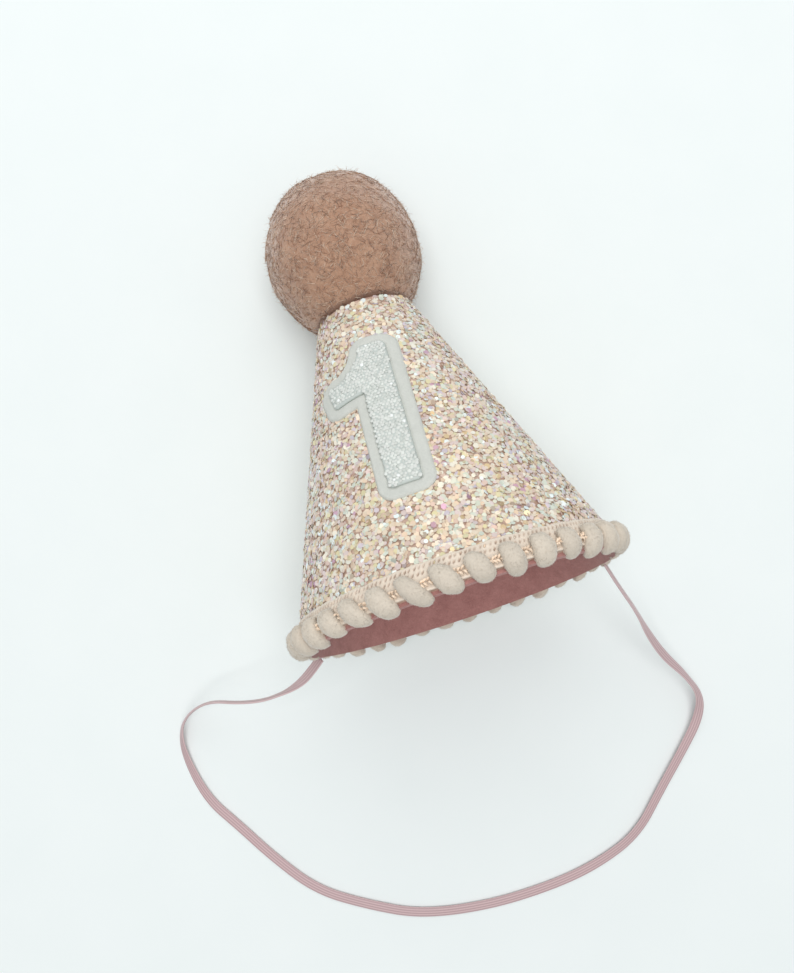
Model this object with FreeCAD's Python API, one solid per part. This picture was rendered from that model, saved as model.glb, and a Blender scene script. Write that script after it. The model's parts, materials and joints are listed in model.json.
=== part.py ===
"""Birthday cone hat, put down on its side with its chin elastic lying in front of the brim.

Lengths are millimetres, angles degrees. +Z is up and Z = 0 is the surface the hat lies on. The origin
is on that surface, under the middle of the hat without its elastic. The ball points towards +Y and the
brim opens towards -Y.

The hat is drawn standing up in its own frame (brim plane at Z = 0, ball at the top) and lay_down()
turns it on to its side. A place on the cone is given by three numbers:
    up       distance along the slanted side, from the brim's edge towards the ball
    out      distance outwards, square to the cover's outer face
    around   angle about the cone's axis: 0 is the -X side, 90 the top, 180 the +X side
"""
import FreeCAD, Part
import math
import os

# Cone
BRIM_RADIUS = 50.0        # outside of the cover at the brim
TOP_RADIUS = 15.45        # outside of the cover at its upper rim
CONE_HEIGHT = 95.75       # brim plane to upper rim, along the axis
COVER_THICK = 0.9         # glitter canvas
LINER_THICK = 1.2         # wool felt
LINER_PROUD = 1.0         # the felt shows this far past the cover at both rims
LAP_WIDTH = 8.0           # the cover's glued overlap
LAP_AROUND = 281.5        # the overlap lies underneath, between two pom-poms

# Felt ball, an egg shape that is a little longer than it is wide
BALL_RADIUS = 25.2
BALL_HALF_LENGTH = 28.0
BALL_CENTRE = 119.2       # above the brim plane
GLUE_HEIGHT = 5.0         # hot glue between the ball's underside and the liner
GLUE_WIDTH = 6.0

# Number
NUMBER_UP = 60.0          # middle of the numeral on the cone
NUMBER_AROUND = 75.0
NUMBER_LEAN = 2.2         # the numeral's head leans towards -X
NUMBER_FOOT_X = 4.8       # foot of its stem, from that middle
NUMBER_FOOT_Y = -28.3
NUMBER_BORDER = 3.5       # plain felt showing round the glitter face
NUMBER_BACK_THICK = 1.0
NUMBER_FACE_THICK = 0.7
CORNER_RADIUS = 1.5
STEM_HALF_WIDTH = 4.7
STEM_HEIGHT = 50.5
FLAG_TIP = -16.2          # left end of the numeral's flag
FLAG_TOP = 41.8
FLAG_UNDERSIDE = 34.0

# Pom-pom trim
BRAID_WIDTH = 8.25
BRAID_THICK = 1.0
BRAID_GAP = 0.8           # between the braid's two ends, over the cover's overlap
POMPOM_COUNT = 36
FIRST_POMPOM_AROUND = 6.5
POMPOM_HALF_WIDTH = 3.2
POMPOM_HALF_LENGTH = 5.6
POMPOM_HALF_DEPTH = 2.3
POMPOM_UP = -0.4          # its middle is just past the brim's edge
POMPOM_CLEAR = 0.05       # between its back and the braid
TIE_UP = 1.3              # tie threads on the braid, one between each two pom-poms
TIE_DIAMETER = 1.1
TIE_LENGTH = 3.4

# Chin elastic, a flat ribbed ribbon
ELASTIC_WIDTH = 3.4
ELASTIC_THICK = 0.9
ELASTIC_OUT = -1.4        # middle of the ribbon where it lies between cover and liner
ELASTIC_TUCK = 18.0       # length glued in
ELASTIC_OVERHANG = 1.3    # the glued ends stop this far outside the brim
LEFT_EXIT_AROUND = -16.6
RIGHT_EXIT_AROUND = 197.0

# Route of the free elastic from the left exit to the right one
ELASTIC_ROUTE = [
    (-49.0, -73.0, 41.8),
    (-52.5, -77.5, 41.2),
    (-58.5, -80.5, 39.3),
    (-67.5, -80.0, 35.0),
    (-76.5, -77.0, 28.5),
    (-86.5, -74.5, 21.0),
    (-95.5, -74.5, 13.5),
    (-103.0, -77.5, 7.0),
    (-108.0, -83.5, 3.0),
    (-110.0, -94.0, 1.8),
    (-106.5, -108.5, 1.8),
    (-98.5, -121.5, 1.8),
    (-90.5, -136.0, 1.8),
    (-79.5, -152.0, 1.8),
    (-64.0, -162.5, 1.8),
    (-47.0, -171.5, 1.8),
    (-23.0, -176.0, 1.8),
    (1.0, -176.5, 1.8),
    (18.5, -174.0, 1.8),
    (34.5, -168.5, 1.8),
    (47.0, -156.0, 1.8),
    (59.0, -145.0, 2.1),
    (67.5, -136.0, 3.5),
    (70.5, -127.5, 6.5),
    (67.0, -117.5, 11.0),
    (61.0, -108.0, 17.0),
    (56.5, -97.0, 24.5),
    (53.5, -86.5, 32.5),
    (50.8, -79.5, 38.5),
    (48.9, -73.5, 41.2),
]

BRIM_Y = -62.5            # puts the middle of the hat over the origin

# Worked out from the sizes above
SLANT_ANGLE = math.atan2(BRIM_RADIUS - TOP_RADIUS, CONE_HEIGHT)
SLANT_LENGTH = math.hypot(BRIM_RADIUS - TOP_RADIUS, CONE_HEIGHT)
COVER_INSIDE = -COVER_THICK
LINER_INSIDE = -COVER_THICK - LINER_THICK
POMPOM_OUT = BRAID_THICK + POMPOM_CLEAR + POMPOM_HALF_DEPTH

ORIGIN = FreeCAD.Vector(0, 0, 0)
X_AXIS = FreeCAD.Vector(1, 0, 0)
Y_AXIS = FreeCAD.Vector(0, 1, 0)
Z_AXIS = FreeCAD.Vector(0, 0, 1)


# Places on the cone

def radius_and_height(up, out):
    """Distance from the axis and height above the brim plane of a place on the cone."""
    radius = BRIM_RADIUS - up * math.sin(SLANT_ANGLE) + out * math.cos(SLANT_ANGLE)
    height = up * math.cos(SLANT_ANGLE) + out * math.sin(SLANT_ANGLE)
    return radius, height


def seat(up, out, around, lean=0.0):
    """Placement on the cone: X runs round it, Y up the slanted side, Z straight out."""
    radius, height = radius_and_height(up, out)
    turn = math.radians(around)
    place = FreeCAD.Vector(radius * math.cos(turn), radius * math.sin(turn), height)
    axes_to_surface = FreeCAD.Rotation(FreeCAD.Vector(1, 1, 1), 120)
    slope = FreeCAD.Rotation(Y_AXIS, -math.degrees(SLANT_ANGLE))
    swing = FreeCAD.Rotation(Z_AXIS, around)
    return FreeCAD.Placement(place, swing * slope * axes_to_surface * FreeCAD.Rotation(Z_AXIS, lean))


def placed(shape, placement):
    """Copy of a shape moved by a placement."""
    copy = shape.copy()
    copy.transformShape(placement.toMatrix(), True)
    return copy


def cone_band(low, high, inside, outside, around=0.0, sweep=360.0):
    """Shell that follows the cone, its edges cut square to the slanted side."""
    corners = [(low, inside), (low, outside), (high, outside), (high, inside), (low, inside)]
    profile = [radius_and_height(up, out) for up, out in corners]
    wire = Part.makePolygon([FreeCAD.Vector(radius, 0, height) for radius, height in profile])
    band = Part.Face(wire).revolve(ORIGIN, Z_AXIS, sweep)
    band.rotate(ORIGIN, Z_AXIS, around)
    return band


def egg(radius, half_length):
    """Solid of half an ellipse turned about its long axis, which is Z."""
    ellipse = Part.Ellipse(FreeCAD.Vector(0, 0, half_length), FreeCAD.Vector(radius, 0, 0), ORIGIN)
    half = Part.Arc(ellipse, math.pi, 2 * math.pi).toShape()
    chord = Part.makeLine(half.Vertexes[-1].Point, half.Vertexes[0].Point)
    return Part.Face(Part.Wire([half, chord])).revolve(ORIGIN, Z_AXIS, 360)


# How the hat lies

def ball_depth(tilt):
    """How far the ball reaches below the middle of the brim when the axis dips by tilt."""
    reach = math.hypot(BALL_RADIUS * math.cos(tilt), BALL_HALF_LENGTH * math.sin(tilt))
    return BALL_CENTRE * math.sin(tilt) + reach


def pompom_depth(tilt):
    """The same for the lowest pom-pom, from the direction of down in its own frame."""
    radius, height = radius_and_height(POMPOM_UP, POMPOM_OUT)
    pitch = 360.0 / POMPOM_COUNT
    aside_angle = (270.0 - FIRST_POMPOM_AROUND) % pitch
    aside = math.cos(math.radians(min(aside_angle, pitch - aside_angle)))
    down_slant = math.sin(SLANT_ANGLE) * aside * math.cos(tilt) - math.cos(SLANT_ANGLE) * math.sin(tilt)
    down_out = math.cos(SLANT_ANGLE) * aside * math.cos(tilt) + math.sin(SLANT_ANGLE) * math.sin(tilt)
    down_across = math.sqrt(max(0.0, 1 - down_slant ** 2 - down_out ** 2))
    reach = math.hypot(POMPOM_HALF_LENGTH * down_slant, POMPOM_HALF_DEPTH * down_out,
                       POMPOM_HALF_WIDTH * down_across)
    return radius * aside * math.cos(tilt) + height * math.sin(tilt) + reach


def resting_tilt():
    """Dip of the axis, in radians, at which ball and pom-poms touch the surface together."""
    low, high = 0.0, math.radians(30)
    for _ in range(40):
        middle = (low + high) / 2
        if ball_depth(middle) < pompom_depth(middle):
            low = middle
        else:
            high = middle
    return low


TILT = resting_tilt()
BRIM_HEIGHT = ball_depth(TILT)
TURN_ON_SIDE = FreeCAD.Rotation(X_AXIS, -90 - math.degrees(TILT)) * FreeCAD.Rotation(Z_AXIS, 180)
ON_ITS_SIDE = FreeCAD.Placement(FreeCAD.Vector(0, BRIM_Y, BRIM_HEIGHT), TURN_ON_SIDE)


def lay_down(shape):
    """Take a shape from the hat's own frame to where it lies."""
    return placed(shape, ON_ITS_SIDE)


# Cone and ball

def glitter_cover():
    """Rolled sheet of glitter canvas whose straight edge laps over the other."""
    sheet = cone_band(0, SLANT_LENGTH, COVER_INSIDE, 0)
    wide = cone_band(0, SLANT_LENGTH, -COVER_THICK / 2, COVER_THICK, LAP_AROUND - 20, 40)
    strip = Part.makeBox(BRIM_RADIUS + 10, LAP_WIDTH, CONE_HEIGHT + 10, FreeCAD.Vector(0, -LAP_WIDTH / 2, -5))
    strip.rotate(ORIGIN, Z_AXIS, LAP_AROUND)
    return sheet.fuse(wide.common(strip)).removeSplitter()


def elastic_end(around):
    """End of the ribbon, glued flat between the cover and the liner."""
    length = ELASTIC_TUCK + ELASTIC_OVERHANG
    corner = FreeCAD.Vector(-ELASTIC_WIDTH / 2, -ELASTIC_OVERHANG, -ELASTIC_THICK / 2)
    return placed(Part.makeBox(ELASTIC_WIDTH, length, ELASTIC_THICK, corner), seat(0, ELASTIC_OUT, around))


def felt_liner(elastic_ends):
    """Felt cone inside the cover, dented where the elastic's ends press into it."""
    felt = cone_band(-LINER_PROUD, SLANT_LENGTH + LINER_PROUD, LINER_INSIDE, COVER_INSIDE)
    for end in elastic_ends:
        felt = felt.cut(end)
    return felt


def felt_ball(cover, liner):
    """Wool ball pressed on to the upper rim, which bites into it."""
    ball = egg(BALL_RADIUS, BALL_HALF_LENGTH)
    ball.translate(FreeCAD.Vector(0, 0, BALL_CENTRE))
    return ball.cut(cover).cut(liner)


def ball_glue(ball, liner):
    """Ring of hot glue in the corner between the ball's underside and the liner."""
    ball_bottom = BALL_CENTRE - BALL_HALF_LENGTH
    top = ball_bottom + GLUE_HEIGHT
    liner_radius = TOP_RADIUS - LINER_THICK
    inner = liner_radius - GLUE_WIDTH
    profile = [(inner, ball_bottom), (liner_radius + 2, ball_bottom - 2), (liner_radius + 2, top), (inner, top)]
    corners = [FreeCAD.Vector(radius, 0, height) for radius, height in profile + profile[:1]]
    ring = Part.Face(Part.makePolygon(corners)).revolve(ORIGIN, Z_AXIS, 360)
    wall = -LINER_INSIDE / math.cos(SLANT_ANGLE)
    hollow = Part.makeCone(BRIM_RADIUS - wall, TOP_RADIUS - wall, CONE_HEIGHT)
    return ring.common(hollow).cut(ball).cut(liner)


# Number

def numeral_outline():
    """Flat face of the numeral: stem, flag with a hollow curve under the head, rounded corners."""
    foot_left = FreeCAD.Vector(-STEM_HALF_WIDTH, 0, 0)
    foot_right = FreeCAD.Vector(STEM_HALF_WIDTH, 0, 0)
    head_right = FreeCAD.Vector(STEM_HALF_WIDTH, STEM_HEIGHT, 0)
    head_left = FreeCAD.Vector(-2.6, STEM_HEIGHT + 0.4, 0)
    hollow = FreeCAD.Vector(-6.2, 45.0, 0)
    flag_inner = FreeCAD.Vector(-11.5, FLAG_TOP, 0)
    flag_outer = FreeCAD.Vector(FLAG_TIP, FLAG_TOP, 0)
    flag_foot = FreeCAD.Vector(FLAG_TIP + 1.2, FLAG_UNDERSIDE, 0)
    armpit = FreeCAD.Vector(-STEM_HALF_WIDTH, FLAG_UNDERSIDE, 0)
    edges = [
        Part.makeLine(foot_left, foot_right),
        Part.makeLine(foot_right, head_right),
        Part.makeLine(head_right, head_left),
        Part.Arc(head_left, hollow, flag_inner).toShape(),
        Part.makeLine(flag_inner, flag_outer),
        Part.makeLine(flag_outer, flag_foot),
        Part.makeLine(flag_foot, armpit),
        Part.makeLine(armpit, foot_left),
    ]
    sharp = Part.Face(Part.Wire(edges))
    return sharp.makeOffset2D(-CORNER_RADIUS).makeOffset2D(CORNER_RADIUS)


def numeral_layer(outline, inside, outside):
    """Slice of the outline that follows the cone between two distances from the cover."""
    foot = FreeCAD.Vector(NUMBER_FOOT_X, NUMBER_FOOT_Y, -20)
    prism = placed(outline, FreeCAD.Placement(foot, FreeCAD.Rotation())).extrude(FreeCAD.Vector(0, 0, 30))
    prism = placed(prism, seat(NUMBER_UP, 0, NUMBER_AROUND, NUMBER_LEAN))
    reach = cone_band(10, SLANT_LENGTH, inside, outside, NUMBER_AROUND - 80, 160)
    return prism.common(reach)


def number_backing():
    """Plain felt numeral stuck to the cover."""
    return numeral_layer(numeral_outline().makeOffset2D(NUMBER_BORDER), 0, NUMBER_BACK_THICK)


def number_face():
    """Glitter numeral stuck to its felt backing."""
    return numeral_layer(numeral_outline(), NUMBER_BACK_THICK, NUMBER_BACK_THICK + NUMBER_FACE_THICK)


# Pom-pom trim

def trim_braid(cover):
    """Woven heading of the trim, glued round the brim, its ends meeting over the overlap."""
    half_gap = math.degrees(BRAID_GAP / 2 / BRIM_RADIUS)
    start = LAP_AROUND + half_gap
    return cone_band(0, BRAID_WIDTH, 0, BRAID_THICK, start, 360 - 2 * half_gap).cut(cover)


def pompom_at_zero():
    """Clipped yarn ball, an oval that lies along the slanted side against the braid."""
    squash = FreeCAD.Matrix()
    squash.scale(POMPOM_HALF_WIDTH, POMPOM_HALF_LENGTH, POMPOM_HALF_DEPTH)
    oval = Part.makeSphere(1).transformGeometry(squash)
    return placed(oval, seat(POMPOM_UP, POMPOM_OUT, 0))


def trim_tie_threads(first):
    """Loops of tie thread over the braid's lower edge, one between each two pom-poms."""
    pitch = 360.0 / POMPOM_COUNT
    thread = Part.makeCylinder(TIE_DIAMETER / 2, TIE_LENGTH, FreeCAD.Vector(-TIE_LENGTH / 2, 0, 0), X_AXIS)
    out = BRAID_THICK + TIE_DIAMETER / 2
    flat = cone_band(0, BRAID_WIDTH, 0, BRAID_THICK, -15, 30)
    loop = placed(thread, seat(TIE_UP, out, 0)).cut(flat)
    loops = []
    for index in range(POMPOM_COUNT):
        copy = loop.copy()
        copy.rotate(ORIGIN, Z_AXIS, first + (index + 0.5) * pitch)
        loops.append(copy)
    return Part.makeCompound(loops)


# Elastic

def elastic_exit(around):
    """End of a glued ribbon end outside the brim, where the free elastic starts."""
    return ON_ITS_SIDE.multVec(seat(-ELASTIC_OVERHANG, ELASTIC_OUT, around).Base)


def rounded_route(points):
    """Straight runs joined by tangent arcs, each as large as its two runs allow."""
    edges = []
    radii = []
    start = points[0]
    for before, corner, after in zip(points, points[1:], points[2:]):
        into = corner - before
        away = after - corner
        half_turn = into.getAngle(away) / 2
        trim = 0.45 * min(into.Length, away.Length)
        radius = trim / math.tan(half_turn)
        into.normalize()
        away.normalize()
        arc_start = corner - into * trim
        arc_end = corner + away * trim
        inward = away - into
        inward.normalize()
        arc_middle = corner + inward * (radius / math.cos(half_turn) - radius)
        edges.append(Part.LineSegment(start, arc_start).toShape())
        edges.append(Part.Arc(arc_start, arc_middle, arc_end).toShape())
        radii.append(radius)
        start = arc_end
    edges.append(Part.LineSegment(start, points[-1]).toShape())
    return Part.Wire(edges), radii


def elastic_strap():
    """The free elastic as a plain round tube of the ribbon's width."""
    route = [FreeCAD.Vector(*point) for point in ELASTIC_ROUTE]
    points = [elastic_exit(LEFT_EXIT_AROUND)] + route + [elastic_exit(RIGHT_EXIT_AROUND)]
    path, radii = rounded_route(points)
    ring = Part.Circle(points[0], points[1] - points[0], ELASTIC_WIDTH / 2).toShape()
    tube = path.makePipeShell([Part.Wire(ring)], True, False)
    expected = math.pi * ELASTIC_WIDTH ** 2 / 4 * path.Length
    print("elastic radii", [round(radius, 1) for radius in radii])
    print("elastic length", round(path.Length, 1), "volume over section x length",
          round(tube.Volume / expected, 4))
    return tube


def build():
    """Every node of the hat, by name."""
    cover = glitter_cover()
    left_end = elastic_end(LEFT_EXIT_AROUND)
    right_end = elastic_end(RIGHT_EXIT_AROUND)
    liner = felt_liner([left_end, right_end])
    ball = felt_ball(cover, liner)
    hat = {
        "glitter_cover": cover,
        "felt_liner": liner,
        "felt_ball": ball,
        "ball_glue": ball_glue(ball, liner),
        "number_backing": number_backing(),
        "number_face": number_face(),
        "trim_braid": trim_braid(cover),
        "trim_tie_threads": trim_tie_threads(FIRST_POMPOM_AROUND),
        "elastic_end_left": left_end,
        "elastic_end_right": right_end,
    }
    pompom = pompom_at_zero()
    for index in range(POMPOM_COUNT):
        copy = pompom.copy()
        copy.rotate(ORIGIN, Z_AXIS, FIRST_POMPOM_AROUND + index * 360.0 / POMPOM_COUNT)
        hat["pompom_%02d" % (index + 1)] = copy
    nodes = {name: lay_down(shape) for name, shape in hat.items()}
    nodes["elastic_strap"] = elastic_strap()
    return nodes


os.makedirs("parts", exist_ok=True)
for name, shape in build().items():
    if not shape.isValid():
        raise ValueError(name + " is not a valid solid")
    shape.exportStep("parts/" + name + ".step")
    box = shape.BoundBox
    print(name, len(shape.Solids), "solid, volume", round(shape.Volume, 1),
          "box", [round(v, 2) for v in (box.XMin, box.YMin, box.ZMin, box.XMax, box.YMax, box.ZMax)])
print("tilt", round(math.degrees(TILT), 6), "brim height", round(BRIM_HEIGHT, 3))
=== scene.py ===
"""Birthday cone hat on its side: glitter cone, wool ball, felt numeral, pom-pom trim and chin elastic.

Everything is in metres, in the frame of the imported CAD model. A place on the cone is given as in the
part's source: up its slanted side from the brim's edge, out from the cover's face, and around the axis
in degrees, from the -X side over the top.
"""

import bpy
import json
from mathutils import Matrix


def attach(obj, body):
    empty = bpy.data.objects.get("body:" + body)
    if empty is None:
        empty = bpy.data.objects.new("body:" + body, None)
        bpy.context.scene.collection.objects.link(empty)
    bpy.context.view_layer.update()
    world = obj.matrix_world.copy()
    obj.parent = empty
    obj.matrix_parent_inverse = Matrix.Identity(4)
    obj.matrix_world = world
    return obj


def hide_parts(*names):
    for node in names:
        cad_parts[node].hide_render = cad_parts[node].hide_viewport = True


bl_info = {
    "name": "Party Hat",
    "version": (1, 0, 0),
    "blender": (4, 5, 0),
    "location": "View3D > Sidebar > Party Hat",
    "description": "Builds the fabrics, glitter, wool and elastic of a cone hat round its frame",
    "category": "Add Mesh",
}

import json
import math

import bpy
import numpy as np
from bpy.props import FloatProperty, FloatVectorProperty, IntProperty, PointerProperty
from mathutils import Matrix, Vector

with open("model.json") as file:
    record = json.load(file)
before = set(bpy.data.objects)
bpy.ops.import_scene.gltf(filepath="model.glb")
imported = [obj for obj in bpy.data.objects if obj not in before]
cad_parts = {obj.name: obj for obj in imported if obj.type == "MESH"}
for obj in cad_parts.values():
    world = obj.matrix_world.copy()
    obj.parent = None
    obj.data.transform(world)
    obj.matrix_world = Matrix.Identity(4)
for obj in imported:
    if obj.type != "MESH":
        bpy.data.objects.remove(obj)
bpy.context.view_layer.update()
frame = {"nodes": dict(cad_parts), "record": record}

MM = 0.001

# The cone, as in the part's source
BRIM_RADIUS = 50.0 * MM
TOP_RADIUS = 15.45 * MM
CONE_HEIGHT = 95.75 * MM
COVER_THICK = 0.9 * MM
LINER_THICK = 1.2 * MM
LAP_AROUND = 281.5
LAP_WIDTH = 8.0 * MM
SLANT_ANGLE = math.atan2(BRIM_RADIUS - TOP_RADIUS, CONE_HEIGHT)
SLANT_LENGTH = math.hypot(BRIM_RADIUS - TOP_RADIUS, CONE_HEIGHT)
SLANT_SIN = math.sin(SLANT_ANGLE)
SLANT_COS = math.cos(SLANT_ANGLE)

# How it lies: the middle of the brim and the direction from there to the ball come from the mount
MOUNT = frame["record"]["mounts"][0]
BRIM_CENTRE = np.array(MOUNT["pos_m"], float)
AXIS = -np.array(MOUNT["axis"], float)
SIDE = np.array((-1.0, 0.0, 0.0))
TOP = np.cross(AXIS, SIDE)

# Ball
BALL_RADIUS = 25.2 * MM
BALL_HALF_LENGTH = 28.0 * MM
BALL_CENTRE = 119.2 * MM

# Trim: the braid's ends meet at the lap, with a gap between them
BRAID_WIDTH = 8.25 * MM
BRAID_THICK = 1.0 * MM
BRAID_GAP = 0.8 * MM
POMPOM_COUNT = 36
POMPOM_PITCH = 360.0 / POMPOM_COUNT
FIRST_POMPOM = 6.5

# Numeral: its middle on the cone, and the foot of its stem from there
NUMERAL_UP = 60.0 * MM
NUMERAL_AROUND = 75.0
NUMERAL_LEAN = 2.2
NUMERAL_FOOT = np.array((4.8, -28.3)) * MM
CORNER_RADIUS = 1.5 * MM
FACE_THICK = 0.7 * MM
BACKING_THICK = 1.0 * MM
BORDER = 3.5 * MM
GROOVE_WIDTH = 0.35 * MM

# Elastic: its ends are glued inside the cover, and its free part starts just past the brim's edge
ELASTIC_WIDTH = 3.4 * MM
ELASTIC_THICK = 0.9 * MM
ELASTIC_RIBS = 4
ELASTIC_OUT = -1.4 * MM
ELASTIC_OVERHANG = 1.3 * MM
LEFT_EXIT = -16.6
RIGHT_EXIT = 197.0
# Between the exits it comes down to the floor, runs round on it and climbs back
ELASTIC_ROUTE = np.array([
    (-51.0, -70.5, 40.5),
    (-56.0, -73.5, 38.0),
    (-63.0, -75.5, 34.5),
    (-71.0, -76.5, 30.0),
    (-80.0, -75.5, 25.0),
    (-89.0, -73.5, 19.0),
    (-96.0, -74.5, 12.5),
    (-103.0, -77.5, 6.5),
    (-108.0, -82.5, 2.6),
    (-110.0, -91.5, 0.7),
    (-107.3, -108.9, 0.7),
    (-99.4, -122.0, 0.7),
    (-91.4, -136.5, 0.7),
    (-80.4, -152.6, 0.7),
    (-64.8, -163.4, 0.7),
    (-47.7, -172.8, 0.7),
    (-23.5, -177.5, 0.7),
    (0.6, -177.9, 0.7),
    (18.6, -175.6, 0.9),
    (35.2, -169.9, 1.2),
    (48.1, -157.1, 1.6),
    (60.0, -145.9, 2.0),
    (68.4, -136.8, 3.1),
    (71.1, -127.9, 6.5),
    (67.0, -117.5, 11.0),
    (61.0, -108.0, 17.0),
    (56.5, -97.0, 24.5),
    (53.5, -86.5, 32.0),
    (50.0, -77.5, 37.5),
    (48.0, -71.5, 40.3),
]) * MM
# How far the ribbon is turned from lying flat, in degrees, at shares of its length
ELASTIC_TURN = np.array([
    (0.00, 42.0),
    (0.02, 38.0),
    (0.05, 90.0),
    (0.12, 99.0),
    (0.16, 99.0),
    (0.22, 30.0),
    (0.27, 0.0),
    (0.62, 0.0),
    (0.68, 15.0),
    (0.76, 12.0),
    (0.80, 0.0),
    (0.835, 62.0),
    (0.875, 30.0),
    (0.91, 40.0),
    (0.94, 68.0),
    (1.00, 73.0),
])

SEED = 12


# Colours

def linear(hex_colour):
    """Linear red, green, blue and alpha of an sRGB hex value."""
    parts = [int(hex_colour[i:i + 2], 16) / 255 for i in (1, 3, 5)]
    return [c / 12.92 if c <= 0.04045 else ((c + 0.055) / 1.055) ** 2.4 for c in parts] + [1.0]


def chosen_from(mix, count, rng):
    """Rows of linear colours drawn at random from a mix of hex values and their shares."""
    rows = np.array([linear(colour) for colour, _ in mix])
    share = np.array([weight for _, weight in mix])
    return rows[rng.choice(len(rows), count, p=share / share.sum())]


# Places on the cone

def on_cone(up, out, around):
    """Points on the cone: the axis, plus the cone's radius there turned round it."""
    up, out, around = np.broadcast_arrays(up, out, around)
    turn = np.radians(around)[..., None]
    radius = (BRIM_RADIUS - up * SLANT_SIN + out * SLANT_COS)[..., None]
    height = (up * SLANT_COS + out * SLANT_SIN)[..., None]
    return BRIM_CENTRE + height * AXIS + radius * (np.cos(turn) * SIDE + np.sin(turn) * TOP)


def cone_directions(around):
    """Round the cone, up its side and straight out of it, at an angle about the axis."""
    turn = np.radians(np.asarray(around, float))[..., None]
    radial = np.cos(turn) * SIDE + np.sin(turn) * TOP
    along = np.cos(turn) * TOP - np.sin(turn) * SIDE
    return along, SLANT_COS * AXIS - SLANT_SIN * radial, SLANT_COS * radial + SLANT_SIN * AXIS


def unit(vectors):
    """Vectors scaled to length 1."""
    return vectors / np.linalg.norm(vectors, axis=-1, keepdims=True)


def waves(points, size, seed, count=10):
    """Smooth lumps from -1 to 1: sine waves of about the given size in random directions, averaged."""
    rng = np.random.default_rng(seed)
    directions = unit(rng.normal(size=(count, 3))) * rng.uniform(0.7, 1.5, (count, 1)) * math.tau / size
    phases = rng.uniform(0, math.tau, count)
    return np.sin(points @ directions.T + phases).sum(-1) / math.sqrt(count)


# Meshes

def grid_faces(rows, columns, closed=True):
    """Quads over a grid of points stored row by row. A closed grid joins its last column to its first."""
    row = np.arange(rows - 1)[:, None]
    column = np.arange(columns if closed else columns - 1)[None, :]
    after = (column + 1) % columns
    corners = (row * columns + column, row * columns + after,
               (row + 1) * columns + after, (row + 1) * columns + column)
    return np.stack(np.broadcast_arrays(*corners), -1).reshape(-1, 4)


def globe(rows, columns):
    """Angle from the pole and angle round for a globe's points, with one point at each pole, and its
    faces."""
    polar = np.linspace(0, math.pi, rows + 2)
    round_it = np.arange(columns) * math.tau / columns
    angle = np.concatenate([[0.0], np.repeat(polar[1:-1], columns), [math.pi]])
    turn = np.concatenate([[0.0], np.tile(round_it, rows), [0.0]])
    step = np.arange(columns)
    after = (step + 1) % columns
    last = rows * columns + 1
    first_cap = np.stack([np.zeros(columns, int), after + 1, step + 1], -1)
    last_cap = np.stack([np.full(columns, last), last - columns + step, last - columns + after], -1)
    return angle, turn, [grid_faces(rows, columns) + 1, first_cap, last_cap]


def swept_faces(rows, columns):
    """Faces over a closed profile's points carried along a path, with a flat cap at each end."""
    step = np.arange(columns)[None, :]
    return [grid_faces(rows, columns)[:, ::-1], step, (rows - 1) * columns + step[:, ::-1]]


def plates(centre, outward, sideways, half_size, thick, turn, lean):
    """Closed six-sided plates: a hexagon of the given half size on each side of a leaning centre plane.
    The lean is two slopes, sideways and at right angles to that."""
    normal = unit(outward + lean[:, :1] * sideways + lean[:, 1:] * np.cross(outward, sideways))
    first = unit(sideways - (sideways * normal).sum(-1, keepdims=True) * normal)
    second = np.cross(normal, first)
    angle = turn[:, None] + np.arange(6) * math.tau / 6
    ring = np.cos(angle)[..., None] * first[:, None] + np.sin(angle)[..., None] * second[:, None]
    ring = centre[:, None] + ring * half_size[:, None, None]
    half = normal[:, None] * thick / 2
    points = np.concatenate([ring + half, ring - half], 1).reshape(-1, 3)
    start = np.arange(len(centre))[:, None] * 12
    step = np.arange(6)
    after = (step + 1) % 6
    walls = np.stack([step, step + 6, after + 6, after], -1)
    faces = [start + step, start + 11 - step, (start[..., None] + walls).reshape(-1, 4)]
    return points, faces


def domes(centre, outward, sideways, half_size, rise, turn):
    """Closed low pebbles: an eight-sided ring, a second ring at about three quarters of its size and
    of the height, and a point on top."""
    second = np.cross(outward, sideways)
    angle = turn[:, None] + np.arange(8) * math.tau / 8
    ring = np.cos(angle)[..., None] * sideways[:, None] + np.sin(angle)[..., None] * second[:, None]
    ring = ring * half_size[:, None, None]
    middle = centre[:, None]
    height = (rise[:, None] * outward)[:, None]
    points = np.concatenate([middle + ring, middle + 0.74 * ring + 0.75 * height, middle + height], 1)
    start = np.arange(len(centre))[:, None] * 17
    step = np.arange(8)
    after = (step + 1) % 8
    walls = np.stack([step, after, after + 8, step + 8], -1)
    caps = np.stack([step + 8, after + 8, np.full(8, 16)], -1)
    faces = [start + step[::-1], (start[..., None] + walls).reshape(-1, 4),
             (start[..., None] + caps).reshape(-1, 3)]
    return points.reshape(-1, 3), faces


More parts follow.
